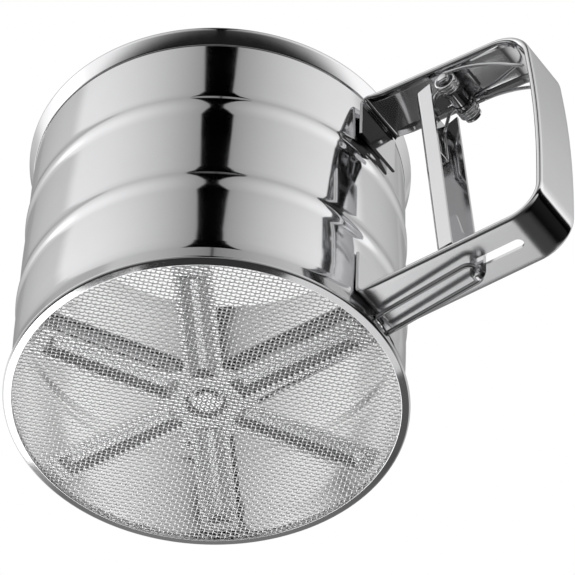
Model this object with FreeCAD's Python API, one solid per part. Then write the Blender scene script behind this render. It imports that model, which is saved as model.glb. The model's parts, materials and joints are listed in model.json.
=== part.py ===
import FreeCAD, Part
import math
import os

# Hand flour sifter: a straight cup with a woven screen in its base, a six-armed agitator
# turning on the screen, and a strap handle with a squeeze lever that drives it.
# Millimetres.  Origin: centre of the base ring, on the plane it stands on.  +Z up, +X handle.

V = FreeCAD.Vector
os.makedirs("parts", exist_ok=True)

# ---- cup -------------------------------------------------------------------------------
CUP_R = 48.3            # outside of the wall
CUP_T = 0.6             # wall sheet
CUP_H = 86.0            # top of the rolled rim
RIM_R = 49.4            # outside of the rolled rim
RIM_LOW = 80.2          # lower edge of the rolled rim
BEAD_LOW = (27.2, 33.0)     # height range of the lower stiffening bead
BEAD_HIGH = (55.5, 61.2)    # height range of the upper one
BEAD_OUT = 0.5          # how far a bead stands out
FLANGE_R = 49.3         # turned-out foot clamped in the base ring
RING_R = 50.0           # base ring
RING_BORE = 47.7
RING_T = 0.5
RING_SIDE = 2.1         # height of the ring's upright side
RING_TOP = 3.6          # height where its sloping lip meets the wall
SCREEN_T = 0.6
SLOT_LOW, SLOT_HIGH = 3.8, 5.9     # opening in the wall for the link wire
SLOT_Y = (-1.2, 10.6)

# ---- agitator and its support --------------------------------------------------------------
ARMS = 6
ARM_HALF = 4.7          # half width of an arm
ARM_TIP = 46.0          # reach of an arm
ARM_FILLET = 2.9        # hollow corner between two arms
AGI_Z = 1.6             # underside of the arms, just clear of the screen
AGI_T = 0.6
RIDGE_H = 1.2
RIDGE_HALF = 3.3
PIVOT_R = 1.8
LUG = (-11.9, 9.6)      # hole for the link wire
LUG_R = 2.4
PIN_R = 0.65            # link wire radius
SUP_ARMS = (0, 120, 240)
SUP_HALF = 5.35
SUP_Z = 6.9
SUP_T = 0.8
SUP_RIDGE = 1.6
SUP_TAB = 6.5           # height of the welded end tabs

# ---- handle strap ---------------------------------------------------------------------------
STRAP_HALF = 7.87
STRAP_T = 0.85
HEM_IN = 5.6            # where the folded edge begins
PATH = [(48.3, 64.5), (48.3, 77.8), (96.9, 75.3), (101.2, 41.5), (100.7, 8.05), (48.3, 6.4),
        (48.3, 21.0)]
PATH_R = [0, 2.2, 11.5, 288.0, 9.5, 2.4, 0]
SLOT_X = (76.1, 91.0)
SLOT_HALF = 1.5
EDGE_R = 0.5            # rounding of the folded edges

# ---- squeeze lever ---------------------------------------------------------------------------
HINGE = (72.5, 71.5)    # lever pivot, x and z
PIN_HINGE_R = 1.5
RUNNING_FIT = 0.05
LEVER_FOOT = (70.72, 9.95)
LEVER_TILT = 6.0
LEVER_LONG = 60.5
LEVER_HALF = 6.85
LEVER_DEEP = 4.4
LEVER_T = 0.8
KNUCKLE_R = 2.35
KNUCKLE_HALF = 1.8
TAB_T = 1.2
TAB_EYE = (78.3, 4.35)  # centre of the tall eye, x and z
TAB_HEAD = 1.9          # half width of the tab round the eye
COIL_R = 3.0
WIRE = 0.95             # spring wire
COIL_Y = (2.95, 6.75)
COIL_TURNS = 4
LINK_Z = (5.05, 4.75)    # link wire height at the tab and over the agitator
LINK_HALF = 3.0          # half the distance between its two legs
LINK_RUN = 34.0          # length over which the legs run side by side


def outline(start, *steps):
    """Closed XZ face.  A step of 2 numbers is a line; of 4 is an arc (through, end)."""
    here = V(start[0], 0, start[1])
    first = here
    edges = []
    for step in steps:
        end = V(step[-2], 0, step[-1])
        if len(step) == 2:
            edges.append(Part.makeLine(here, end))
        else:
            edges.append(Part.Arc(here, V(step[0], 0, step[1]), end).toShape())
        here = end
    if here.distanceToPoint(first) > 1e-6:
        edges.append(Part.makeLine(here, first))
    return Part.Face(Part.Wire(edges))


def turned(face):
    return face.revolve(V(0, 0, 0), V(0, 0, 1), 360)


def slab(face, half):
    """Extrude an XZ face to both sides of y = 0."""
    face.translate(V(0, -half, 0))
    return face.extrude(V(0, 2 * half, 0))


def disc(radius, low, high, x=0.0, y=0.0):
    return Part.makeCylinder(radius, high - low, V(x, y, low))


def cross_pin(radius, y_from, y_to, x, z):
    return Part.makeCylinder(radius, y_to - y_from, V(x, y_from, z), V(0, 1, 0))


def box(x0, x1, y0, y1, z0, z1):
    return Part.makeBox(x1 - x0, y1 - y0, z1 - z0, V(x0, y0, z0))


def rod(points, radius):
    """Round wire along a chain of points, with ball corners."""
    spots = [V(*p) for p in points]
    shape = None
    for a, b in zip(spots, spots[1:]):
        run = b - a
        piece = Part.makeCylinder(radius, run.Length, a, run)
        shape = piece if shape is None else shape.fuse(piece)
    for corner in spots[1:-1]:
        shape = shape.fuse(Part.makeSphere(radius, corner))
    return shape.removeSplitter()


def hip(x0, x1, half, z, rise, top_half, end_run):
    """Hipped ridge lying along x: sloping sides and sloping ends."""
    shape = Part.makeWedge(x0, z, -half, -top_half, x0 + end_run,
                           x1, z + rise, half, top_half, x1 - end_run)
    shape.rotate(V(0, 0, 0), V(1, 0, 0), 90)
    return shape


def unit(a, b):
    length = math.hypot(b[0] - a[0], b[1] - a[1])
    return ((b[0] - a[0]) / length, (b[1] - a[1]) / length)


def inset(points, distance):
    """The same chain of points moved sideways to the right of travel."""
    lines = []
    for a, b in zip(points, points[1:]):
        d = unit(a, b)
        shift = (d[1] * distance, -d[0] * distance)
        lines.append(((a[0] + shift[0], a[1] + shift[1]), (b[0] + shift[0], b[1] + shift[1]), d))
    result = [lines[0][0]]
    for one, two in zip(lines, lines[1:]):
        d, e = one[2], two[2]
        cross = d[0] * e[1] - d[1] * e[0]
        gap = (two[0][0] - one[0][0], two[0][1] - one[0][1])
        reach = (gap[0] * e[1] - gap[1] * e[0]) / cross
        result.append((one[0][0] + d[0] * reach, one[0][1] + d[1] * reach))
    result.append(lines[-1][1])
    return result


def rounded(points, radii):
    """Edges of a chain of points in the XZ plane with its corners rounded."""
    edges = []
    here = V(points[0][0], 0, points[0][1])
    for before, corner, after, radius in zip(points, points[1:], points[2:], radii[1:]):
        d = unit(before, corner)
        e = unit(corner, after)
        turn = math.acos(max(-1.0, min(1.0, d[0] * e[0] + d[1] * e[1])))
        cut = radius * math.tan(turn / 2)
        start = V(corner[0] - d[0] * cut, 0, corner[1] - d[1] * cut)
        end = V(corner[0] + e[0] * cut, 0, corner[1] + e[1] * cut)
        toward = (e[0] - d[0], e[1] - d[1])
        size = math.hypot(toward[0], toward[1])
        sag = radius / math.cos(turn / 2) - radius
        mid = V(corner[0] + toward[0] / size * sag, 0, corner[1] + toward[1] / size * sag)
        edges.append(Part.makeLine(here, start))
        edges.append(Part.Arc(start, mid, end).toShape())
        here = end
    edges.append(Part.makeLine(here, V(points[-1][0], 0, points[-1][1])))
    return edges


def band(near, far):
    """XZ face between two insets of the strap path."""
    outer = rounded(inset(PATH, near), [max(0.05, r - near) for r in PATH_R])
    inner = rounded(inset(PATH, far), [max(0.05, r - far) for r in PATH_R])
    ends = [Part.makeLine(outer[0].Vertexes[0].Point, inner[0].Vertexes[0].Point),
            Part.makeLine(outer[-1].Vertexes[-1].Point, inner[-1].Vertexes[-1].Point)]
    return Part.Face(Part.Wire(Part.__sortEdges__(outer + inner + ends)))


def cup_body():
    low0, low1 = BEAD_LOW
    high0, high1 = BEAD_HIGH
    o = CUP_R
    i = CUP_R - CUP_T
    foot = RING_T + SCREEN_T
    crown = CUP_H - 1.15
    face = outline(
        (FLANGE_R, foot), (FLANGE_R, foot + CUP_T), (o + 0.9, foot + CUP_T),
        (o + 0.2636, foot + CUP_T + 0.2636, o, foot + CUP_T + 0.9),
        (o, low0), (o + BEAD_OUT, (low0 + low1) / 2, o, low1),
        (o, high0), (o + BEAD_OUT, (high0 + high1) / 2, o, high1),
        (o, crown), (o + 0.25, crown + 0.25, o + 0.5, crown),
        (o + 0.5, RIM_LOW + 0.6), (o + 0.25, RIM_LOW + 0.6), (o + 0.25, RIM_LOW),
        (RIM_R - 0.4, RIM_LOW), (RIM_R - 0.117, RIM_LOW + 0.117, RIM_R, RIM_LOW + 0.4),
        (RIM_R, crown), ((i + RIM_R) / 2, CUP_H, i, crown),
        (i, high1), (i + BEAD_OUT, (high0 + high1) / 2, i, high0),
        (i, low1), (i + BEAD_OUT, (low0 + low1) / 2, i, low0),
        (i, foot + 1.5), (i + 0.4393, foot + 0.4393, i + 1.5, foot))
    wire_slot = box(CUP_R - 4, CUP_R + 4, SLOT_Y[0], SLOT_Y[1], SLOT_LOW, SLOT_HIGH)
    return turned(face).cut(wire_slot)


def base_ring():
    t = RING_T
    face = outline(
        (RING_BORE, 0), (RING_R - 0.5, 0), (RING_R - 0.1464, 0.1464, RING_R, 0.5),
        (RING_R, RING_SIDE), (CUP_R + 0.35, RING_TOP), (CUP_R, RING_TOP), (CUP_R, RING_TOP - 0.3),
        (RING_R - t, RING_SIDE - 0.3), (RING_R - t, t), (RING_BORE, t))
    return turned(face)


def screen_mesh():
    return disc(RING_R - 0.7, RING_T, RING_T + SCREEN_T)


def star(half, tip, fillet, angles, low, high, hub=0.0):
    """Flat star: round-ended arms on a hub, with hollow corners between neighbours."""
    plan = disc(max(hub, half), low, high)
    step = 360.0 / len(angles)
    lean = math.radians(step / 2)
    centre = (half + fillet) / math.sin(lean)
    inner = centre * math.cos(lean)
    for angle in angles:
        arm = box(0, tip - 1.2, -half, half, low, high)
        cap = disc(tip, low, high).common(box(tip - 1.3, tip + 1, -half, half, low, high))
        arm = arm.fuse(cap)
        web = Part.makePolygon([V(0, 0, low), V(inner, half, low),
                                V(centre * math.cos(lean), centre * math.sin(lean), low),
                                V(inner * math.cos(2 * lean) + half * math.sin(2 * lean),
                                  inner * math.sin(2 * lean) - half * math.cos(2 * lean), low),
                                V(0, 0, low)])
        web = Part.Face(web).extrude(V(0, 0, high - low))
        web = web.cut(disc(fillet, low, high, centre * math.cos(lean), centre * math.sin(lean)))
        piece = arm.fuse(web)
        piece.rotate(V(0, 0, 0), V(0, 0, 1), angle)
        plan = plan.fuse(piece)
    return plan.removeSplitter()


def agitator():
    shape = star(ARM_HALF, ARM_TIP, ARM_FILLET, [k * 60 for k in range(ARMS)], AGI_Z,
                 AGI_Z + AGI_T)
    shape = shape.fuse(disc(LUG_R, AGI_Z, AGI_Z + AGI_T, LUG[0], LUG[1]))
    top = AGI_Z + AGI_T
    for k in range(ARMS):
        ridge = hip(8.6, ARM_TIP - 3.0, RIDGE_HALF, top, RIDGE_H, 0.9, 2.2)
        ridge.rotate(V(0, 0, 0), V(0, 0, 1), k * 60)
        shape = shape.fuse(ridge)
    shape = shape.fuse(Part.makeCone(5.2, 4.1, RIDGE_H, V(0, 0, top)))
    for k in range(ARMS):
        hollow = hip(8.6, ARM_TIP - 3.0, RIDGE_HALF, AGI_Z, RIDGE_H, 0.9, 2.2)
        hollow.rotate(V(0, 0, 0), V(0, 0, 1), k * 60)
        shape = shape.cut(hollow)
    shape = shape.cut(Part.makeCone(5.2, 4.1, RIDGE_H, V(0, 0, AGI_Z)))
    shape = shape.cut(disc(PIVOT_R + RUNNING_FIT, AGI_Z, top + 3))
    shape = shape.cut(disc(PIN_R + RUNNING_FIT, AGI_Z - 1, top + 3, LUG[0], LUG[1]))
    return shape


def support_bracket():
    """Fixed three-armed bridge above the agitator, its ends turned up against the wall."""
    wall = CUP_R - CUP_T
    shape = star(SUP_HALF, wall - 0.6, 6.0, SUP_ARMS, SUP_Z, SUP_Z + SUP_T, 9.0)
    top = SUP_Z + SUP_T
    for angle in SUP_ARMS:
        ridge = hip(9.5, wall - 4.5, SUP_HALF - 1.0, top, SUP_RIDGE, 0.5, 3.0)
        ridge.rotate(V(0, 0, 0), V(0, 0, 1), angle)
        shape = shape.fuse(ridge)
    for angle in SUP_ARMS:
        hollow = hip(9.5, wall - 4.5, SUP_HALF - 1.0, SUP_Z, SUP_RIDGE, 0.5, 3.0)
        hollow.rotate(V(0, 0, 0), V(0, 0, 1), angle)
        shape = shape.cut(hollow)
        tab = disc(wall, SUP_Z, SUP_Z + SUP_TAB).cut(disc(wall - SUP_T, SUP_Z - 1, 20))
        tab = tab.common(box(20, 50, -SUP_HALF, SUP_HALF, 0, 20))
        tab.rotate(V(0, 0, 0), V(0, 0, 1), angle)
        shape = shape.fuse(tab)
    return shape.cut(disc(PIVOT_R, 0, 20)).removeSplitter()


def pivot_rivet():
    head_top = AGI_Z + RIDGE_H - 0.1
    shank = disc(PIVOT_R, head_top - 0.7, SUP_Z + SUP_T + 0.8)
    lower = disc(3.1, head_top - 0.9, head_top)
    dome = Part.makeSphere(4.0, V(0, 0, SUP_Z + SUP_T - 2.4)).common(
        disc(3.2, SUP_Z + SUP_T, SUP_Z + SUP_T + 3))
    return shank.fuse([lower, dome]).removeSplitter()


def pivot_washer():
    low = AGI_Z + AGI_T + RIDGE_H + 0.1
    return disc(3.9, low, low + 0.5).cut(disc(PIVOT_R + RUNNING_FIT, 0, 20))


def pivot_spacer():
    low = AGI_Z + AGI_T + RIDGE_H + 0.6
    return disc(3.2, low, SUP_Z).cut(disc(PIVOT_R, 0, 20))


def handle_strap():
    shape = slab(band(0.0, STRAP_T), STRAP_HALF)
    hem = slab(band(STRAP_T, 2 * STRAP_T), STRAP_HALF)
    hem = hem.cut(box(0, 52.5, -20, 20, 0, 90))
    hem = hem.cut(box(0, 120, -HEM_IN, HEM_IN, 0, 90))
    shape = shape.fuse(hem).removeSplitter()
    rims = []
    for edge in shape.Edges:
        middle = edge.valueAt((edge.FirstParameter + edge.LastParameter) / 2)
        spots = [v.Point for v in edge.Vertexes] + [middle]
        on_side = all(abs(abs(p.y) - STRAP_HALF) < 1e-4 for p in spots)
        if on_side and min(p.x for p in spots) > 52.0 and edge.Length > 2.0:
            rims.append(edge)
    shape = shape.makeFillet(EDGE_R, rims)
    slot = box(SLOT_X[0] + SLOT_HALF, SLOT_X[1] - SLOT_HALF, -SLOT_HALF, SLOT_HALF, 0, 20)
    for x in (SLOT_X[0] + SLOT_HALF, SLOT_X[1] - SLOT_HALF):
        slot = slot.fuse(disc(SLOT_HALF, 0, 20, x, 0))
    return shape.cut(slot)


def hinge_bracket():
    """Small U bracket under the upper arm of the strap that carries the hinge pin."""
    x, z = HINGE
    slope = (PATH[2][1] - PATH[1][1]) / (PATH[2][0] - PATH[1][0])
    ceiling = PATH[1][1] + slope * (x - PATH[1][0]) - STRAP_T * math.sqrt(1 + slope * slope)
    plate = box(x - 5.0, x + 5.0, -2.75, 2.75, ceiling - 0.8, ceiling)
    plate.rotate(V(x, 0, ceiling), V(0, 1, 0), -math.degrees(math.atan(slope)))
    ears = None
    for side in (-1, 1):
        y0 = min(side * 2.0, side * 2.75)
        ear = outline((x - 4.2, ceiling - 0.4), (x + 4.2, ceiling - 0.55), (x + 2.6, z),
                      (x, z - 2.6, x - 2.6, z))
        ear.translate(V(0, y0, 0))
        ear = ear.extrude(V(0, 0.75, 0))
        ears = ear if ears is None else ears.fuse(ear)
    shape = plate.fuse(ears)
    return shape.cut(cross_pin(PIN_HINGE_R, -9, 9, x, z)).removeSplitter()


def hinge_pin():
    x, z = HINGE
    shank = cross_pin(PIN_HINGE_R, -7.4, 7.8, x, z)
    return shank.fuse(cross_pin(2.3, -7.85, -7.1, x, z)).removeSplitter()


def pin_retainer():
    x, z = HINGE
    return cross_pin(2.35, 7.05, 7.65, x, z).cut(cross_pin(PIN_HINGE_R, 0, 9, x, z))


def trigger_lever():
    """Squeeze lever: a U channel open toward the grip, hung from the pin by a curled tongue."""
    outer = box(0, LEVER_DEEP, -LEVER_HALF, LEVER_HALF, 0, LEVER_LONG + 2)
    corners = [e for e in outer.Edges if e.BoundBox.XMax < 0.01 and e.BoundBox.ZLength > 10]
    outer = outer.makeFillet(1.2, corners)
    inner = box(LEVER_T, LEVER_DEEP + 1, LEVER_T - LEVER_HALF, LEVER_HALF - LEVER_T, LEVER_T,
                LEVER_LONG + 5)
    channel = outer.cut(inner)
    crop = outline((-1, LEVER_LONG), (0, LEVER_LONG), (LEVER_DEEP, LEVER_LONG + 1.4),
                   (LEVER_DEEP + 1, LEVER_LONG + 1.4), (LEVER_DEEP + 1, LEVER_LONG + 4),
                   (-1, LEVER_LONG + 4))
    channel = channel.cut(slab(crop, 20))
    foot = outline((-1, 0), (0, 1.6), (0.35, 0.5, 1.6, 0), (LEVER_DEEP + 1, 0),
                   (LEVER_DEEP + 1, -1), (-1, -1))
    channel = channel.cut(slab(foot, 20))
    slit = TAB_T / 2 + 0.05
    channel = channel.cut(box(LEVER_T, LEVER_DEEP + 1, -slit, slit, -1, LEVER_T + 0.1))
    channel.rotate(V(0, 0, 0), V(0, 1, 0), -LEVER_TILT)
    channel.translate(V(LEVER_FOOT[0], 0, LEVER_FOOT[1]))
    x, z = HINGE
    tongue = outline((64.75, 67.2), (65.5, 67.2), (65.6, 69.3), (66.6, 70.6), (x - 1.2, z + 1.3),
                     (x, z + 1.6), (x, z + KNUCKLE_R), (x - 0.9, z + 2.2), (65.9, 71.35),
                     (64.9, 70.1))
    tongue = slab(tongue, KNUCKLE_HALF)
    knuckle = cross_pin(KNUCKLE_R, -KNUCKLE_HALF, KNUCKLE_HALF, x, z)
    shape = channel.fuse([tongue, knuckle])
    return shape.cut(cross_pin(PIN_HINGE_R + RUNNING_FIT, -9, 9, x, z)).removeSplitter()


def pull_tab():
    """Flat tongue on the lever that reaches down through the slot to the link wire."""
    x, z = TAB_EYE
    lean = math.radians(LEVER_TILT)

    def on_web(height):
        return (LEVER_FOOT[0] + LEVER_T / math.cos(lean)
                - (height - LEVER_FOOT[1]) * math.tan(lean), height)

    head = TAB_HEAD
    face = outline(on_web(27.5), (72.4, 27.5), (74.2, 20.0), (x + head + 0.8, 12.5),
                   (x + head, 9.0), (x + head, z - 0.4), (x, z - 0.4 - head, x - head, z - 0.4),
                   (x - head, 9.0), (75.4, 10.4), on_web(12.5))
    shape = slab(face, TAB_T / 2)
    eye = cross_pin(1.3, -2, 2, x, z - 0.35).fuse(cross_pin(1.3, -2, 2, x, z + 0.35))
    eye = eye.fuse(box(x - 1.3, x + 1.3, -2, 2, z - 0.35, z + 0.35))
    return shape.cut(eye)


def return_spring():
    """Double torsion spring: two close-wound coils on the pin joined by a loop in the lever."""
    x, z = HINGE
    pitch = (COIL_Y[1] - COIL_Y[0]) / COIL_TURNS
    steps = [(COIL_R - WIRE, COIL_Y[1]), (COIL_R - 0.25, COIL_Y[1])]
    for k in range(COIL_TURNS):
        y = COIL_Y[1] - k * pitch
        steps.append((COIL_R, y - pitch / 2, COIL_R - 0.25, y - pitch))
    steps.append((COIL_R - WIRE, COIL_Y[0]))
    coil = turned(outline(steps[0], *steps[1:]))
    coil.rotate(V(0, 0, 0), V(1, 0, 0), -90)
    mid = COIL_R - WIRE / 2
    shape = None
    for side in (-1, 1):
        one = coil.copy()
        if side < 0:
            one.rotate(V(0, 0, 0), V(0, 0, 1), 180)
        one.translate(V(x, 0, z))
        grip_leg = rod([(x - 0.6, side * 6.2, z - mid), (x + 7.5, side * 5.9, z - 3.0),
                        (x + 15.5, side * 5.0, z - 4.2), (x + 21.0, side * 4.0, z - 6.2)],
                       WIRE / 2)
        web_leg = rod([(x - mid * 0.7, side * 3.45, z + mid * 0.72), (68.1, side * 3.45, 70.75),
                       (66.5, side * 3.45, 64.5), (67.6, side * 3.3, 52.6),
                       (67.6, 0, 52.6)], WIRE / 2)
        for piece in (one, grip_leg, web_leg):
            shape = piece if shape is None else shape.fuse(piece)
    return shape.removeSplitter()


def link_wire():
    """Bent wire: a cross bar in the lever tab, two legs, drawn together and turned down."""
    x = TAB_EYE[0]
    high, low = LINK_Z
    run = (LUG[0] - x, LUG[1])
    length = math.hypot(run[0], run[1])
    ahead = (run[0] / length, run[1] / length)
    aside = (-ahead[1], ahead[0])

    def spot(along, across, height):
        return (x + ahead[0] * along + aside[0] * across, ahead[1] * along + aside[1] * across,
                height)

    middle = (high + low) / 2
    path = [spot(length, 0.0, low), spot(length - 0.8, 0.75, low),
            spot(LINK_RUN, LINK_HALF, middle), spot(0.0, LINK_HALF, high),
            spot(0.0, -LINK_HALF, high), spot(LINK_RUN, -LINK_HALF, middle),
            spot(length - 0.8, -0.75, low), spot(length, 0.0, low)]
    shape = rod(path, PIN_R)
    shape = shape.fuse(Part.makeSphere(PIN_R, V(*spot(length, 0.0, low))))
    shape = shape.fuse(disc(PIN_R, AGI_Z - 0.15, low, LUG[0], LUG[1]))
    return shape.removeSplitter()


PARTS = {
    "cup_body": cup_body,
    "base_ring": base_ring,
    "screen_mesh": screen_mesh,
    "support_bracket": support_bracket,
    "agitator": agitator,
    "pivot_rivet": pivot_rivet,
    "pivot_washer": pivot_washer,
    "pivot_spacer": pivot_spacer,
    "handle_strap": handle_strap,
    "hinge_bracket": hinge_bracket,
    "hinge_pin": hinge_pin,
    "pin_retainer": pin_retainer,
    "trigger_lever": trigger_lever,
    "pull_tab": pull_tab,
    "return_spring": return_spring,
    "link_wire": link_wire,
}

for name, make in PARTS.items():
    solid = make()
    if solid.ShapeType != "Solid" and len(solid.Solids) == 1:
        solid = solid.Solids[0]
    print(name, solid.ShapeType, len(solid.Solids), solid.isValid(), round(solid.Volume, 1))
    solid.exportStep("parts/" + name + ".step")
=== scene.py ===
import json
import math
import random

import bmesh
import bpy
from mathutils import Matrix, Vector


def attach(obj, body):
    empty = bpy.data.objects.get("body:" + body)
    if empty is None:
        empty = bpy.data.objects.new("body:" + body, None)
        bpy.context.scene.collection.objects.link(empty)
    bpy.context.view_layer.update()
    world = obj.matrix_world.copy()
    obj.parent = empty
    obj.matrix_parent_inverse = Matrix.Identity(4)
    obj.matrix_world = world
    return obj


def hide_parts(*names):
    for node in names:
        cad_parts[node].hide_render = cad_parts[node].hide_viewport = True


# Hand flour sifter.  The frame is the CAD model's: +Z up along the cup's axis, +X from the cup
# to the grip, Z = 0 where the sifter stands.  Sizes are millimetres and angles are degrees
# unless a comment says otherwise, and mm() or MM turns them into Blender's metres.

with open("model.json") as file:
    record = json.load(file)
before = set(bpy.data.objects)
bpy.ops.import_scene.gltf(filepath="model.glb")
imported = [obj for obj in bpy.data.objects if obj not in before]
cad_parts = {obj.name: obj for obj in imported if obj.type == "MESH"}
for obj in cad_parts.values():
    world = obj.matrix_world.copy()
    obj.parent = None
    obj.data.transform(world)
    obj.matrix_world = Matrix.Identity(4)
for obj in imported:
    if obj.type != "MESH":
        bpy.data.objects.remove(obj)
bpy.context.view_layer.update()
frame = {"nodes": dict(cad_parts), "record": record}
MM = 0.001

# ---------------------------------------------------------------- building meshes

MERGE = 1e-7                # points nearer than this are one point, in metres
SHARP = 35.0                # edges that turn by more than this stay crisp
END_SHOULDER = (0.7, 0.4)   # a wire's rounded end: a ring this wide and this far out, as shares
END_TIP = 0.55              # of the wire's radius, and a tip this far out
CORNER_SHARE = 0.49         # the most of a straight run that one rounded corner uses up


def mm(*values):
    """A point in metres from its millimetres."""
    return Vector(values) * MM


def mesh_object(name, verts, faces, material=None, sharp=SHARP):
    """Smooth-shaded mesh object from points in metres."""
    data = bpy.data.meshes.new(name)
    data.from_pydata([tuple(v) for v in verts], [], faces)
    data.validate()
    obj = bpy.data.objects.new(name, data)
    bpy.context.scene.collection.objects.link(obj)
    work = bmesh.new()
    work.from_mesh(data)
    bmesh.ops.remove_doubles(work, verts=work.verts, dist=MERGE)
    bmesh.ops.recalc_face_normals(work, faces=work.faces)
    work.to_mesh(data)
    work.free()
    data.shade_smooth()
    data.set_sharp_from_angle(angle=math.radians(sharp))
    data.materials.append(material)
    return obj


def arc(centre, radius, start, end, steps):
    """Points of an arc in a 2-D plane."""
    out = []
    for i in range(steps + 1):
        a = math.radians(start + (end - start) * i / steps)
        out.append((centre[0] + radius * math.cos(a), centre[1] + radius * math.sin(a)))
    return out


def skin(rings, size, first=0):
    """Quads between `rings` loops of `size` points that follow each other from point `first`."""
    faces = []
    for ring in range(rings - 1):
        low = first + ring * size
        high = low + size
        for k in range(size):
            m = (k + 1) % size
            faces.append((low + k, high + k, high + m, low + m))
    return faces


def lathe(name, profile, material, segments, sharp):
    """Turn a closed (r, z) outline round the Z axis."""
    count = len(profile)
    verts, faces = [], []
    for s in range(segments):
        a = 2 * math.pi * s / segments
        verts += [mm(r * math.cos(a), r * math.sin(a), z) for r, z in profile]
        t = (s + 1) % segments
        for i in range(count):
            j = (i + 1) % count
            faces.append((s * count + i, t * count + i, t * count + j, s * count + j))
    return mesh_object(name, verts, faces, material, sharp)


def tube(name, points, radius, material, sides):
    """Round wire along a chain of points, with rounded ends."""
    spots = [Vector(p) for p in points]
    last = len(spots) - 1
    ways = [(spots[min(i + 1, last)] - spots[max(i - 1, 0)]).normalized()
            for i in range(last + 1)]
    angles = [2 * math.pi * k / sides for k in range(sides)]
    side = ways[0].orthogonal().normalized()
    rings = []
    for i, way in enumerate(ways):
        if i:
            side = (ways[i - 1].rotation_difference(way) @ side).normalized()
        other = way.cross(side)
        rings.append([spots[i] + (side * math.cos(a) + other * math.sin(a)) * radius
                      for a in angles])
    verts = [v * MM for ring in rings for v in ring]
    faces = skin(len(rings), sides)
    wide, out = END_SHOULDER
    for end, way in ((0, -ways[0]), (last, ways[-1])):
        dome = len(verts)
        tip = dome + sides
        verts += [(spots[end] + (v - spots[end]) * wide + way * radius * out) * MM
                  for v in rings[end]]
        verts.append((spots[end] + way * radius * END_TIP) * MM)
        for k in range(sides):
            m = (k + 1) % sides
            faces.append((end * sides + k, end * sides + m, dome + m, dome + k))
            faces.append((dome + k, dome + m, tip))
    return mesh_object(name, verts, faces, material, sharp=60.0)


def soften(points, radii, steps):
    """Chain of points with each corner replaced by a curve of about its own radius."""
    spots = [Vector(p) for p in points]
    out = [spots[0]]
    for a, b, c, radius in zip(spots, spots[1:], spots[2:], radii):
        before, after = a - b, c - b
        turn = math.pi - before.angle(after)
        cut = min(radius * math.tan(turn / 2), before.length * CORNER_SHARE,
                  after.length * CORNER_SHARE)
        p = b + before.normalized() * cut
        q = b + after.normalized() * cut
        for i in range(steps + 1):
            t = i / steps
            out.append(p * (1 - t) ** 2 + b * 2 * t * (1 - t) + q * t * t)
    out.append(spots[-1])
    return out


def block(name, low, high):
    """Box between two opposite corners, used as a cutting tool."""
    corners = [mm(x, y, z) for x in (low[0], high[0]) for y in (low[1], high[1])
               for z in (low[2], high[2])]
    faces = [(0, 1, 3, 2), (4, 6, 7, 5), (0, 4, 5, 1), (2, 3, 7, 6), (0, 2, 6, 4), (1, 5, 7, 3)]
    return mesh_object(name, corners, faces)


def cut_with(obj, tool):
    """Boolean difference, applied, and the cutting tool removed."""
    step = obj.modifiers.new("cut", "BOOLEAN")
    step.operation = "DIFFERENCE"
    step.solver = "EXACT"
    step.object = tool
    bpy.context.view_layer.update()
    whole = obj.evaluated_get(bpy.context.evaluated_depsgraph_get())
    done = bpy.data.meshes.new_from_object(whole)
    obj.modifiers.clear()
    obj.data = done
    bpy.data.objects.remove(tool)
    obj.data.shade_smooth()
    obj.data.set_sharp_from_angle(angle=math.radians(SHARP))


# ---------------------------------------------------------------- building shaders


class Nodes:
    """The node tree of a material or a world, built one node at a time."""

    def __init__(self, owner):
        owner.use_nodes = True
        self.tree = owner.node_tree
        self.shader = self.tree.nodes.get("Principled BSDF")

    def feed(self, socket, value):
        """Link another node's output to a socket, or set the socket to a plain value."""
        if isinstance(value, bpy.types.NodeSocket):
            self.tree.links.new(value, socket)
        else:
            socket.default_value = value

    def add(self, kind, inputs=None, **settings):
        """A new node.  `inputs` holds its sockets' values or links, by socket name or number."""
        node = self.tree.nodes.new("ShaderNode" + kind)
        for key, value in settings.items():
            setattr(node, key, value)
        for socket, value in (inputs or {}).items():
            self.feed(node.inputs[socket], value)
        return node

    def calc(self, operation, *values):
        """A Math node's result."""
        return self.add("Math", dict(enumerate(values)), operation=operation).outputs[0]

    def ramp(self, value, span, result, curve="LINEAR"):
        """`value` carried from the range `span` to the range `result`, and held beyond it."""
        ends = {"Value": value, "From Min": span[0], "From Max": span[1],
                "To Min": result[0], "To Max": result[1]}
        return self.add("MapRange", ends, interpolation_type=curve).outputs["Result"]


def simple_material(name, values):
    """A material that only sets its shader's sockets."""
    material = bpy.data.materials.new(name)
    nodes = Nodes(material)
    for socket, value in values.items():
        nodes.feed(nodes.shader.inputs[socket], value)
    return material


# ---------------------------------------------------------------- steel

# a noise's scale is in cells per metre
GRAIN_NOISE = {"Scale": 900.0, "Detail": 4.0, "Roughness": 0.6}
MARK_NOISE = {"Scale": 28.0, "Detail": 6.0, "Roughness": 0.7}
GRAIN_ROUGH = 0.5           # the most that grain adds, as a share of the finish's roughness
MARK_SPAN = (0.35, 0.75)    # range of the noise over which the steel gets rougher
MARK_ROUGH = (0.8, 1.5)     # from this share of the finish's roughness to this one
TINT_SPAN = (0.3, 0.7)      # range of the noise over which the steel gets lighter
TINT_LOW = 0.955            # from this share of the finish's colour to all of it
SEED_WAY = (1.0, 0.7, 1.3)  # a seed moves the grain this way


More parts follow.
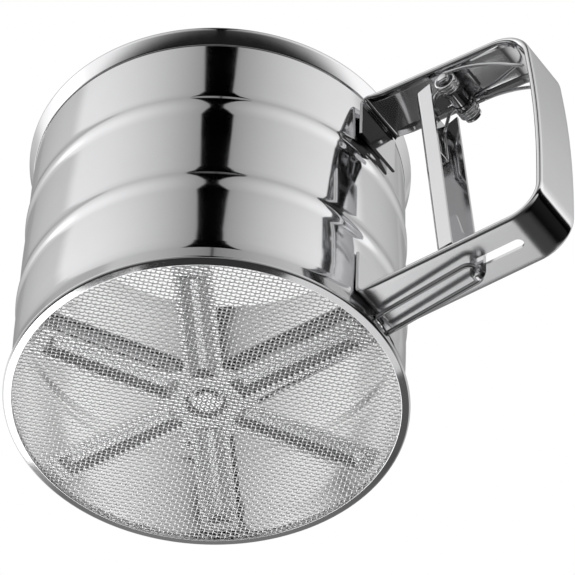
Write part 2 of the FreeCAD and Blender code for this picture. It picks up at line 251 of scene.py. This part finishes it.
def steel(name, tint=(0.80, 0.80, 0.81), rough=0.07, grain=(1, 1, 1), grain_deep=0.001,
          ripple=0.02, ripple_cells=55.0, seed=0.0, satin=None, metal=1.0):
    """Polished or drawn stainless steel: fine rolling grain, slow ripples and faint marks.

    `grain` squeezes or stretches the grain along X, Y and Z, and `grain_deep` and `ripple` are
    depths.  `satin` is a roughness and the two heights between which it fades out upwards.
    """
    material = bpy.data.materials.new(name)
    n = Nodes(material)
    where = n.add("TexCoord").outputs["Object"]
    place = n.add("Mapping", {"Vector": where, "Scale": grain,
                              "Location": [seed * s for s in SEED_WAY]}).outputs[0]
    fine = n.add("TexNoise", {"Vector": place, **GRAIN_NOISE}).outputs["Fac"]
    slow = n.add("TexNoise", {"Vector": where, "Scale": ripple_cells, "Detail": 1.0}).outputs["Fac"]
    marks = n.add("TexNoise", {"Vector": where, **MARK_NOISE}).outputs["Fac"]

    wiped = n.ramp(marks, MARK_SPAN, [rough * share for share in MARK_ROUGH])
    roughness = n.calc("MULTIPLY_ADD", fine, rough * GRAIN_ROUGH, wiped)
    if satin:
        spread, low, high = satin
        tall = n.add("SeparateXYZ", {0: where}).outputs["Z"]
        under = n.ramp(tall, (low * MM, high * MM), (spread, 0.0))
        roughness = n.calc("MAXIMUM", roughness, under)
    n.feed(n.shader.inputs["Roughness"], roughness)

    colour = n.add("ValToRGB", {"Fac": marks})
    dark, light = colour.color_ramp.elements
    dark.position, light.position = TINT_SPAN
    dark.color = [c * TINT_LOW for c in tint] + [1]
    light.color = list(tint) + [1]
    n.feed(n.shader.inputs["Base Color"], colour.outputs["Color"])

    rolled = n.add("Bump", {"Distance": ripple * MM, "Height": slow}).outputs["Normal"]
    drawn = n.add("Bump", {"Distance": grain_deep * MM, "Height": fine, "Normal": rolled})
    n.feed(n.shader.inputs["Normal"], drawn.outputs["Normal"])
    n.shader.inputs["Metallic"].default_value = metal
    return material


CUP = steel("cup_polish", rough=0.055, grain=(1, 1, 0.06), ripple=0.05, ripple_cells=24.0)
INSIDE = steel("cup_inside_satin", tint=(0.92, 0.92, 0.92), rough=0.12, grain=(1, 1, 0.06),
               ripple=0.04, ripple_cells=24.0, seed=1.4)
RING = steel("ring_polish", rough=0.06, seed=3.1)
STRAP = steel("strap_polish", rough=0.06, grain=(0.08, 1, 0.08), ripple=0.035,
              ripple_cells=40.0, seed=5.2, satin=(0.24, 8.2, 10.5))
LEVER = steel("lever_polish", rough=0.075, grain=(1, 1, 0.07), seed=7.7)
STAR = steel("star_satin", tint=(0.86, 0.86, 0.87), rough=0.16, ripple=0.03, seed=9.4)
# support bracket: satin steel whose tint is darkened to 0.38 as painted shade, so that it looks
# dark inside the cup
BRIDGE = steel("bridge_satin_painted_shade", tint=(0.38, 0.38, 0.39), rough=0.14, ripple=0.03, seed=11.9)
# screen wire: bright stainless wire, lifted to a near-white tint with a 0.15 diffuse share as
# painted highlight, so that the wires look bright white
MESH = steel("screen_wire", tint=(0.97, 0.97, 0.97), rough=0.18, grain_deep=0.002, ripple=0.0,
             metal=0.85)
SPRING = steel("spring_wire", tint=(0.92, 0.92, 0.93), rough=0.10, ripple=0.0, seed=2.2)
# pull wire: steel whose tint is darkened to 0.52 as painted shade, so that it looks dark against
# its bright reflections
LINK = steel("link_wire", tint=(0.52, 0.52, 0.53), rough=0.08, ripple=0.0, seed=4.2)
SMALL = steel("small_parts", tint=(0.72, 0.72, 0.73), rough=0.15, ripple=0.01, seed=6.6)

# ---------------------------------------------------------------- cup

SEGMENTS = 384              # round the cup and the hem
CREASE = 40.0               # turned pieces stay crisp where they turn by more than this
WALL_T = 0.6                # sheet
RIM_LOW = 80.2              # crevice under the rolled rim
# outside of the wall as (height, radius)
TAPER = ((0.0, 48.5), (24.0, 48.6), (45.0, 48.4), (70.0, 48.0), (RIM_LOW, 47.85))
WALL_FOOT = 11.0            # the wall has no swell below this
WALL_SWELL = 0.12           # how far it swells between two beads
BEADS = ((27.2, 33.0), (55.5, 61.2))    # height ranges of the two stiffening beads
BEAD_FLANK = 12.5
BEAD_CREST_R = 6.0
# the rolled rim from the crevice up and over, as (radius, angle from, angle to, steps)
RIM_ARCS = ((0.3, 80, 18, 6), (170.0, 18, 16.5, 12), (1.0, 16.5, -50, 12), (0.9, -50, -90, 6),
            (0.24, -90, -180, 6))
FLANGE_R = 49.3             # turned-out foot, clamped in the hem
FLANGE_LOW, FLANGE_HIGH = 1.15, 1.65
FOOT_BEND_R, FOOT_BEND_Z = 1.5, 2.6     # inner bend from the wall to the flange
WIRE_SLOT = ((44, -1.2, 3.8), (52, 10.6, 5.9))      # opening for the pull wire
FACES_IN = -0.5             # the inside's faces look inwards by more than this


def wall_r(z):
    """Outer radius of the wall, which narrows a little towards the top."""
    for (z0, r0), (z1, r1) in zip(TAPER, TAPER[1:]):
        if z <= z1:
            return r0 + (r1 - r0) * (z - z0) / (z1 - z0)
    return TAPER[-1][1]


def bead(low, high, steps=16):
    """A rolled bead: two straight flanks and a rounded crest."""
    flank = math.radians(BEAD_FLANK)
    half = (high - low) / 2
    flat = half - BEAD_CREST_R * math.sin(flank)
    rise = flat * math.tan(flank)
    crest = arc((rise - BEAD_CREST_R * math.cos(flank), half), BEAD_CREST_R, -BEAD_FLANK,
                BEAD_FLANK, steps)
    line = [(0.0, 0.0), (rise / 2, flat / 2)] + crest
    line += [(rise / 2, 2 * half - flat / 2), (0.0, 2 * half)]
    return [(wall_r(low + z) + r, low + z) for r, z in line]


def swelled(low, high, steps=14):
    """The wall between two heights, standing out very slightly halfway."""
    out = []
    for i in range(1, steps):
        t = i / steps
        z = low + (high - low) * t
        out.append((wall_r(z) + WALL_SWELL * 4 * t * (1 - t), z))
    return out


def rolled_rim():
    """The rim from the crevice under it, over the top, to the inside of the wall."""
    r, z = wall_r(RIM_LOW), RIM_LOW
    line = []
    for radius, start, end, steps in RIM_ARCS:
        s = math.radians(start)
        for k in range(steps + 1):
            a = math.radians(start + (end - start) * k / steps)
            line.append((r + radius * (math.cos(a) - math.cos(s)),
                         z + radius * (math.sin(s) - math.sin(a))))
        r, z = line[-1]
    return line


def cup_profile():
    """The cup's sheet: flange, wall and beads, rolled rim, and back down the inside."""
    flange = [(FLANGE_R, FLANGE_LOW), (FLANGE_R, FLANGE_HIGH), (48.75, 1.9), (48.5, 4.0),
              (48.5, 6.0)]
    wall = [(wall_r(z), z) for z in (8.5, WALL_FOOT)]
    here = WALL_FOOT
    for low, high in BEADS:
        wall += swelled(here, low) + bead(low, high)
        here = high
    wall += swelled(here, RIM_LOW)
    inner = [(r - WALL_T, z) for r, z in reversed(wall)]
    bend = arc((wall_r(2) - WALL_T + FOOT_BEND_R, FOOT_BEND_Z), FOOT_BEND_R, 180, 270, 8)
    return flange + wall + rolled_rim() + inner + bend


def build_cup():
    obj = lathe("cup_shell", cup_profile(), CUP, SEGMENTS, CREASE)
    cut_with(obj, block("wire_slot", *WIRE_SLOT))
    obj.data.materials.append(INSIDE)
    for face in obj.data.polygons:
        out = Vector((face.center.x, face.center.y, 0)).normalized()
        if face.normal.dot(out) < FACES_IN:
            face.material_index = 1
    return obj


cup = build_cup()
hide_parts("cup_body")
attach(cup, "cup")

# ---------------------------------------------------------------- base hem

HEM_TOP = 8.2
HEM_EDGE_T = 0.15           # thickness of the hem's top edge
FLANK_TOP, FLANK_FOOT = Vector((48.84, 5.3)), Vector((49.98, 1.105))
HEM_FOOT, HEM_FOOT_R = (49.4, 0.95), 0.6
HEM_LIP, HEM_LIP_R = (47.92, 0.27), 0.2
HEM_SLOT = ((44, -1.6, 3.9), (52, 11.0, 6.3))       # a little larger than the cup's opening


def hem_profile():
    """The flared hem: curved top, sloping flank, rounded foot and a lip turned inwards.

    The straight runs have extra points near their ends, which keep the shading flat there.
    """
    top = [(48.55, HEM_TOP), (48.58, 7.3), (48.64, 6.5), (48.73, 5.85)]
    flank = [tuple(FLANK_TOP.lerp(FLANK_FOOT, t)) for t in (0.0, 0.04, 0.5, 0.96)]
    foot = arc(HEM_FOOT, HEM_FOOT_R, 15, -80, 14)
    lip = arc(HEM_LIP, HEM_LIP_R, -100, -180, 5)
    sole = [tuple(Vector(foot[-1]).lerp(Vector(lip[0]), t)) for t in (0.05, 0.5, 0.95)]
    inside = [(47.7, 0.75), (48.2, 1.0), (48.9, 1.1), (49.3, 1.9), (48.7, 5.2)]
    return top + flank + foot + sole + lip + inside + [(48.52, HEM_TOP - HEM_EDGE_T)]


ring = lathe("base_hem", hem_profile(), RING, SEGMENTS, CREASE)
cut_with(ring, block("hem_slot", *HEM_SLOT))
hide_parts("base_ring")
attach(ring, "cup")

# ---------------------------------------------------------------- woven screen

PITCH = 1.11                # from one wire to the next
WIRE_R = 0.165              # of a wire
WIRE_SIDES = 6
CRIMP = 0.95                # height of a crossing's crimp, as a share of the wire's radius
DRIFT = 0.035               # the most that a wire lies out of its place
SCREEN_Z = 0.80             # height of the screen's middle
SCREEN_R = 48.9


def weave(name, along, phase, seed):
    """One set of woven wires, crimped over and under the set that crosses it.

    The two sets have phases 0 and 1, so that one goes over where the other goes under.
    """
    across = Vector((-along.y, along.x, 0))
    angles = [2 * math.pi * (k + 0.5) / WIRE_SIDES for k in range(WIRE_SIDES)]
    section = [across * (WIRE_R * math.cos(a)) + Vector((0, 0, WIRE_R * math.sin(a)))
               for a in angles]
    verts, faces = [], []
    rng = random.Random(seed)
    rows = int(SCREEN_R / PITCH)
    for row in range(-rows, rows + 1):
        off = row * PITCH
        cells = int(math.sqrt(max(0.0, SCREEN_R ** 2 - off ** 2)) / PITCH)
        if cells < 1:
            continue
        off += rng.uniform(-DRIFT, DRIFT)
        first = len(verts)
        for step in range(-2 * cells, 2 * cells + 1):
            lift = 0.0
            if step % 2 == 0:
                lift = WIRE_R * CRIMP * (1 if (step // 2 + row + phase) % 2 else -1)
            centre = along * (step * PITCH / 2) + across * off + Vector((0, 0, SCREEN_Z + lift))
            verts += [(centre + v) * MM for v in section]
        faces += skin(4 * cells + 1, WIRE_SIDES, first)
    return mesh_object(name, verts, faces, MESH, sharp=80.0)


warp = weave("screen_warp", Vector((1, 1, 0)).normalized(), 0, 5)
weft = weave("screen_weft", Vector((1, -1, 0)).normalized(), 1, 11)
for part in (warp, weft):
    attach(part, "cup")
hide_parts("screen_mesh")

# ---------------------------------------------------------------- handle strap

HALF = 7.87                 # half the strap's width
SHEET = 0.85                # its thickness where it isn't folded
# corners of the strap's outer face as (x, z), from its upper end to its lower one
PATH = ((48.3, 64.5), (48.3, 77.8), (96.9, 75.3), (101.2, 41.5), (100.7, 8.05), (48.3, 6.4),
        (48.3, 21.0))
PATH_R = (2.2, 11.5, 288.0, 9.5, 2.4)   # bend at each corner between the ends
RUN_STEP, BEND_STEP = 2.0, 2.5          # between stations, on a run and round a bend
BEND_LEAST = 8                          # stations round a short bend
END_STEPS = 6                           # stations on the last run
FOLD_FROM, FOLD_RUN = 51.8, 1.6         # the edges fold in over this stretch of X
FOLD_EDGE = 5.6                         # half the width between the two folded edges
FOLD_LIP = Vector((0.2, 0.25))          # bevel of a folded edge's lip, deep and across
FOLD_CRACK = 0.02                       # gap under a folded edge
STRAP_SLOT_X = (77.9, 89.5)             # centres of the slot's round ends
STRAP_SLOT_R = 1.5
STRAP_SLOT_Z = (2.0, 14.0)              # the cutting tool's height range


def strap_path():
    """Stations along the outer face: position and outward normal, in the XZ plane."""
    stations = []

    def add(spot, way):
        stations.append((Vector((spot.x, 0, spot.y)), Vector((-way.y, 0, way.x))))

    corners = [Vector(p) for p in PATH]
    here = corners[0]
    for before, corner, after, radius in zip(corners, corners[1:], corners[2:], PATH_R):
        way, next_way = (corner - before).normalized(), (after - corner).normalized()
        bend = way.angle(next_way)
        cut = radius * math.tan(bend / 2)
        start = corner - way * cut
        runs = max(1, int((start - here).length / RUN_STEP))
        for k in range(runs):
            add(here.lerp(start, k / runs), way)
        centre = start + Vector((way.y, -way.x)) * radius
        steps = max(BEND_LEAST, int(math.degrees(bend) / BEND_STEP))
        for k in range(steps):
            cos, sin = math.cos(bend * k / steps), math.sin(bend * k / steps)
            turned = Vector((way.x * cos + way.y * sin, way.y * cos - way.x * sin))
            add(centre + Vector((-turned.y, turned.x)) * radius, turned)
        here = corner + next_way * cut
    for k in range(END_STEPS + 1):
        add(here.lerp(corners[-1], k / END_STEPS), next_way)
    return stations


def strap_section(fold):
    """The strap's outline as (depth under the outer face, y); fold 0 is plain sheet, 1 hemmed.

    The flats have points between their ends, which keep the shading flat there.
    """
    deep = SHEET * (1 + fold)
    edge = deep / 2
    lip, crack = FOLD_LIP * fold, FOLD_CRACK * fold
    half = [(0.0, 0.0), (0.0, 3.0), (0.0, 6.0)]
    half += [(edge - c, HALF - edge + s) for c, s in arc((0, 0), edge, 0, 180, 10)]
    half += [(deep, 6.6), (deep, FOLD_EDGE + lip.y), (deep - lip.x, FOLD_EDGE),
             (SHEET + crack, FOLD_EDGE - crack), (SHEET, FOLD_EDGE - 0.5), (SHEET, 3.0),
             (SHEET, 0.0)]
    other = [(d, -y) for d, y in reversed(half[1:-1])]
    return half + other


def build_strap():
    """The band: its section swept along the path, with the ends left plain on the cup."""
    verts = []
    stations = strap_path()
    for spot, out in stations:
        t = min(1.0, max(0.0, (spot.x - FOLD_FROM) / FOLD_RUN))
        section = strap_section(t * t * (3 - 2 * t))
        verts += [(spot - out * depth + Vector((0, y, 0))) * MM for depth, y in section]
    size = len(section)
    faces = skin(len(stations), size)
    faces.append(tuple(range(size))[::-1])
    faces.append(tuple(range(len(verts) - size, len(verts))))
    return mesh_object("handle_band", verts, faces, STRAP, sharp=32.0)


def slot_tool():
    """The strap slot's shape: straight sides and round ends."""
    left, right = STRAP_SLOT_X
    outline = arc((left, 0), STRAP_SLOT_R, 90, 270, 12) + arc((right, 0), STRAP_SLOT_R, -90, 90, 12)
    n = len(outline)
    verts = [mm(x, y, z) for z in STRAP_SLOT_Z for x, y in outline]
    faces = [tuple(range(n))[::-1], tuple(range(n, 2 * n))]
    faces += [(i, (i + 1) % n, n + (i + 1) % n, n + i) for i in range(n)]
    return mesh_object("slot_tool", verts, faces)


strap = build_strap()
cut_with(strap, slot_tool())
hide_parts("handle_strap")
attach(strap, "cup")

# ---------------------------------------------------------------- spring

JOINTS = {joint["name"]: joint for joint in frame["record"]["behaviour"]["joints"]}
HINGE = Vector(JOINTS["lever_squeeze"]["pos_m"]) / MM
COIL_MID = 2.525            # radius of a coil's centre line
COIL_TURNS = 3
COIL_FROM, COIL_TO = 83, 132            # where the grip leg and the lever's leg meet the coil
COIL_Y = (6.28, 3.44)       # outer and inner end of a coil
COIL_STEPS = 30             # points in a turn
SPRING_R = 0.44             # of the wire
# the grip leg from its tip towards the coil, measured from the hinge
GRIP_LEG = (Vector((21.6, 4.0, -5.6)), Vector((14.5, 4.9, -1.2)), Vector((7.0, 5.8, 1.7)))
GRIP_BENDS = (60, 60)
# the loop down the lever, from the coil to the middle of its lower end
LEVER_LOOP = ((68.0, 3.44, 70.7), (66.5, 3.44, 64.5), (67.6, 3.3, 52.6), (67.6, 0.0, 52.6))
LOOP_BENDS = (1.6, 1.6, 1.6)


def spring_path():
    """One double torsion spring: grip leg, coil, loop in the lever, coil, grip leg."""
    def coil_point(angle, y):
        return Vector((HINGE.x + COIL_MID * math.cos(angle), y,
                       HINGE.z + COIL_MID * math.sin(angle)))

    start = math.radians(COIL_FROM)
    finish = math.radians(COIL_TO) + 2 * math.pi * COIL_TURNS
    outer, inner = COIL_Y
    leg = [HINGE + offset for offset in GRIP_LEG] + [coil_point(start, outer)]
    half = soften(leg, GRIP_BENDS, 8)[:-1]
    steps = COIL_STEPS * COIL_TURNS
    for i in range(steps + 1):
        t = i / steps
        half.append(coil_point(start + (finish - start) * t, outer + (inner - outer) * t))
    half += soften([half[-1], *LEVER_LOOP], LOOP_BENDS, 6)[1:]
    mirror = [Vector((p.x, -p.y, p.z)) for p in reversed(half[:-1])]
    return half + mirror


spring = tube("torsion_spring", spring_path(), SPRING_R, SPRING, 12)
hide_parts("return_spring")
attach(spring, "lever")

# ---------------------------------------------------------------- hinge pin

# stepped pin with a small domed head, as (radius, y); its tips stay just off the axis
PIN = ((0.02, -7.7), (0.9, -7.65), (1.5, -7.4), (1.75, -7.05), (1.75, -6.75), (1.5, -6.7),
       (1.5, 7.5), (1.35, 7.72), (0.02, 7.8))


def build_pin():
    """The pin turned round Z, then laid along Y through the hinge."""
    obj = lathe("hinge_rivet", PIN, SMALL, 48, CREASE)
    lay = Matrix.Rotation(math.radians(-90), 4, "X")
    obj.data.transform(Matrix.Translation(HINGE * MM) @ lay)
    return obj


pin = build_pin()
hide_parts("hinge_pin")
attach(pin, "cup")

# ---------------------------------------------------------------- pull wire

EYE_X, LUG = 78.3, Vector((-11.9, 9.6, 0))      # the tab's eye and the agitator's lug
LINK_EYE_Z, LINK_LUG_Z = 5.05, 4.75
LINK_END_Z = 1.45           # bottom of the leg that drops through the lug
LINK_HALF = 3.0             # half the distance between the two legs
LINK_RUN = 34.0             # from the eye to where the legs draw together
LINK_R = 0.65
LINK_BENDS = (1.6, 1.6, 90, 2.7, 2.7, 90)


def link_path():
    """A long loop through the tab's eye, with one leg bent down through the lug."""
    start = Vector((EYE_X, 0, 0))
    run = LUG - start
    ahead = run.normalized()
    aside = Vector((-ahead.y, ahead.x, 0))

    def spot(along, across, height):
        return start + ahead * along + aside * across + Vector((0, 0, height))

    length = run.length
    middle = (LINK_EYE_Z + LINK_LUG_Z) / 2
    route = [spot(length, 0.35, LINK_END_Z), spot(length, 0.35, LINK_LUG_Z),
             spot(length - 2.5, 0.75, LINK_LUG_Z), spot(LINK_RUN, LINK_HALF, middle),
             spot(0, LINK_HALF, LINK_EYE_Z), spot(0, -LINK_HALF, LINK_EYE_Z),
             spot(LINK_RUN, -LINK_HALF, middle), spot(length - 1.6, -0.72, LINK_LUG_Z)]
    return soften(route, LINK_BENDS, 9)


link = tube("pull_wire", link_path(), LINK_R, LINK, 14)
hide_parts("link_wire")
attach(link, "link")

# ---------------------------------------------------------------- CAD pieces keep their shape

# the support bracket takes BRIDGE, whose darkened tint is painted shade
FINISH = {
    "agitator": STAR, "support_bracket": BRIDGE, "pivot_rivet": SMALL, "pivot_washer": SMALL,
    "pivot_spacer": SMALL, "hinge_bracket": SMALL, "pin_retainer": SMALL,
    "trigger_lever": LEVER, "pull_tab": LEVER,
}
for node, look in FINISH.items():
    data = frame["nodes"][node].data
    data.materials.clear()
    data.materials.append(look)

# ---------------------------------------------------------------- camera

CAMERA_SPOT = Vector((0.444504, -0.593539, -0.731895))      # metres, below and to one side
CAMERA_AIM = Vector((0.019489, 0.004777, 0.035951))         # metres
CAMERA_ROLL = 2.3941
CAMERA_LENS, CAMERA_SENSOR = 266.37, 36.0
CAMERA_CLIP = (0.05, 20.0)                                  # metres


def build_camera():
    obj = bpy.data.objects.new("camera", bpy.data.cameras.new("camera"))
    bpy.context.scene.collection.objects.link(obj)
    obj.data.sensor_width = CAMERA_SENSOR
    obj.data.lens = CAMERA_LENS
    obj.data.clip_start, obj.data.clip_end = CAMERA_CLIP
    level = (CAMERA_AIM - CAMERA_SPOT).to_track_quat("-Z", "Y").to_matrix().to_4x4()
    pose = level @ Matrix.Rotation(math.radians(CAMERA_ROLL), 4, "Z")
    pose.translation = CAMERA_SPOT
    obj.matrix_world = pose
    return obj


scene = bpy.context.scene
scene.camera = build_camera()
scene.view_settings.view_transform = "Standard"
scene.view_settings.look = "None"

# ---------------------------------------------------------------- studio light

# The light is a function of direction: "round" is degrees counter-clockwise from the gap
# between the two soft boxes, "up" is degrees above the horizon, and "wide" is how far aside
# of the gap a direction points, from 0 to 1.  A pair is a range that a light fades in or
# changes over, and brightness 1 is white.
GAP_AZIMUTH = -57
BOX_NEAR, BOX_GAIN = 0.24, 1.05         # a box's brightness at the gap, and what wide adds
BOX_FOOT = (15, 21.5)                   # up
BOX_SIDE, BOX_BEHIND = (92, 104), 0.72  # round, and the share of light beyond it
REAR_ROUND, REAR_LIGHT = (128, 160), 0.70
# a dimmer round patch: its middle, its outer and inner radius, and the share of light there
PATCH_WAY, PATCH_R, PATCH_LIGHT = Vector((-0.394, 0.558, 0.730)), (24, 13), 0.5

GAP_HALF, GAP_GAIN = 0.008, 0.0019      # the gap's half width, and what each degree up adds
GAP_SOFT = 0.006
GAP_FRONT = (0.15, 0.2)                 # ahead, so that there is no second gap behind
GAP_TOP = (72.5, 75)                    # up
SLIT_HALF, SLIT_SOFT, SLIT_DARK = 0.006, 0.003, 0.85    # thin line that runs on above the gap

# windows as (round, softness, up, softness, strength)
GLOW = ((-122, -80), 8, (6, 33), 6, 0.45)
CARD = ((74, 108), 7, (-60, 12), 9, 0.98)

PANELS = (((-160, -112), 10, 1.0), ((112, 150), 8, 0.6))    # round, softness, brightness
PANEL_FOOT = (-40, -30)                 # up
TABLE_UP, TABLE_LIGHT = (-44, -5), (0.05, 0.50)
TABLE_EDGE, TABLE_ASIDE = (-1.5, 1.5), (0.7, 1.25)      # up, and shares of light over wide
LOW_LIGHT = 0.012                       # the least brightness

WHITE, BLACK = (1, 1, 1, 1), (0, 0, 0, 1)


class Studio(Nodes):
    """The world's light as a function of direction."""

    def __init__(self, world):
        super().__init__(world)
        self.tree.nodes.clear()
        way = self.add("TexCoord").outputs["Generated"]
        self.way = self.add("SeparateXYZ", {0: way}).outputs
        cos, sin = math.cos(math.radians(GAP_AZIMUTH)), math.sin(math.radians(GAP_AZIMUTH))
        x, y, z = self.way
        self.ahead = self.plus(self.times(x, cos), self.times(y, sin))
        aside = self.calc("SUBTRACT", self.times(y, cos), self.times(x, sin))
        self.round = self.times(self.calc("ARCTAN2", aside, self.ahead), math.degrees(1))
        self.up = self.times(self.calc("ARCSINE", z), math.degrees(1))
        self.wide = self.calc("ABSOLUTE", aside)

    def times(self, a, b):
        return self.calc("MULTIPLY", a, b)

    def plus(self, a, b):
        return self.calc("ADD", a, b)

    def greater(self, a, b):
        return self.calc("MAXIMUM", a, b)

    def without(self, light, part):
        """`light` with a share `part` of it taken away."""
        return self.times(light, self.calc("SUBTRACT", 1.0, part))

    def fade(self, value, span, low=0.0, high=1.0):
        """From `low` to `high`, smoothly, while `value` crosses the range `span`."""
        return self.ramp(value, span, (low, high), "SMOOTHSTEP")

    def inside(self, value, span, soft):
        """One inside the range and zero outside, with soft edges."""
        low, high = span
        rise = self.fade(value, (low - soft, low + soft))
        return self.times(rise, self.fade(value, (high - soft, high + soft), 1.0, 0.0))

    def window(self, round_span, round_soft, up_span, up_soft, strength):
        """A soft-edged patch of that strength, zero outside."""
        inside = self.times(self.inside(self.round, round_span, round_soft),
                            self.inside(self.up, up_span, up_soft))
        return self.times(inside, strength)

    def gap(self):
        """One in the gap: a wedge that closes before the zenith, and a thin line beyond it."""
        half = self.calc("MULTIPLY_ADD", self.up, GAP_GAIN, GAP_HALF)
        wedge = self.fade(self.calc("SUBTRACT", half, self.wide), (-GAP_SOFT, GAP_SOFT))
        wedge = self.times(wedge, self.fade(self.up, GAP_TOP, 1.0, 0.0))
        line = self.fade(self.calc("SUBTRACT", SLIT_HALF, self.wide), (-SLIT_SOFT, SLIT_SOFT),
                         0.0, SLIT_DARK)
        return self.times(self.greater(wedge, line), self.fade(self.ahead, GAP_FRONT))

    def boxes(self):
        """Two large soft boxes with the gap between them, and a bright card away from the grip."""
        away = self.calc("ABSOLUTE", self.round)
        light = self.calc("MULTIPLY_ADD", self.wide, BOX_GAIN, BOX_NEAR)
        light = self.times(light, self.fade(away, BOX_SIDE, 1.0, BOX_BEHIND))
        light = self.greater(light, self.fade(away, REAR_ROUND, 0.0, REAR_LIGHT))
        x, y, z = (self.times(part, size) for part, size in zip(self.way, PATCH_WAY))
        near = self.plus(self.plus(x, y), z)
        span = [math.cos(math.radians(a)) for a in PATCH_R]
        light = self.times(light, self.fade(near, span, 1.0, PATCH_LIGHT))
        return self.plus(self.without(light, self.gap()), self.window(*GLOW))

    def low(self):
        """Under the soft boxes: two panels behind, and a pale table below the horizon."""
        left, right = (self.times(self.inside(self.round, span, soft), bright)
                       for span, soft, bright in PANELS)
        panels = self.times(self.plus(left, right), self.fade(self.up, PANEL_FOOT))
        table = self.times(self.fade(self.up, TABLE_UP, *TABLE_LIGHT),
                           self.fade(self.up, TABLE_EDGE, 1.0, 0.0))
        table = self.times(table, self.fade(self.wide, (0.0, 1.0), *TABLE_ASIDE))
        return self.greater(self.greater(panels, LOW_LIGHT), table)

    def light(self):
        """Everything together, with a dark card low on the grip's side."""
        level = self.fade(self.up, BOX_FOOT)
        both = self.plus(self.times(self.boxes(), level), self.without(self.low(), level))
        return self.without(both, self.window(*CARD))


def build_world():
    """Reflections see the studio; the camera and diffuse surfaces see plain white."""
    world = bpy.data.worlds.new("studio")
    studio = Studio(world)
    seen = studio.add("Background", {"Color": WHITE, "Strength": studio.light()})
    blank = studio.add("Background", {"Color": WHITE})
    ray = studio.add("LightPath").outputs
    plain_ray = studio.greater(ray["Is Camera Ray"], ray["Is Diffuse Ray"])
    choose = studio.add("MixShader", {0: plain_ray, 1: seen.outputs[0], 2: blank.outputs[0]})
    studio.add("OutputWorld", {0: choose.outputs[0]})
    return world


scene.world = build_world()

# ---------------------------------------------------------------- floor and bounce cards

FLOOR_R, FLOOR_Z, FLOOR_SIDES = 6.0, -1.8, 64   # metres, far under the object
CARD_Z = -217
# bounce cards under the object, as (side, x range, y range, brightness)
CARDS = (("left", (-330, -74), (18, 214), 2.2), ("right", (-74, 44), (72, 214), 0.74),
         ("back", (-150, 80), (214, 330), 0.08))


def build_floor():
    angles = [2 * math.pi * k / FLOOR_SIDES for k in range(FLOOR_SIDES)]
    edge = [Vector((FLOOR_R * math.cos(a), FLOOR_R * math.sin(a), FLOOR_Z)) for a in angles]
    paper = simple_material("floor_paper", {"Base Color": (0.9, 0.9, 0.9, 1), "Roughness": 0.9})
    return mesh_object("floor", edge, [tuple(range(FLOOR_SIDES))], paper)


def build_card(side, x_range, y_range, power):
    """A glowing sheet that only reflections see."""
    name = "bounce_card_" + side
    (x0, x1), (y0, y1) = x_range, y_range
    corners = [mm(x, y, CARD_Z) for x, y in ((x0, y0), (x1, y0), (x1, y1), (x0, y1))]
    glow = simple_material(name, {"Base Color": BLACK, "Emission Color": WHITE,
                                  "Emission Strength": power})
    obj = mesh_object(name, corners, [(0, 1, 2, 3)], glow)
    obj.visible_camera = False
    obj.visible_diffuse = False
    return obj


floor = build_floor()
floor.visible_glossy = False
for sizes in CARDS:
    card = build_card(*sizes)
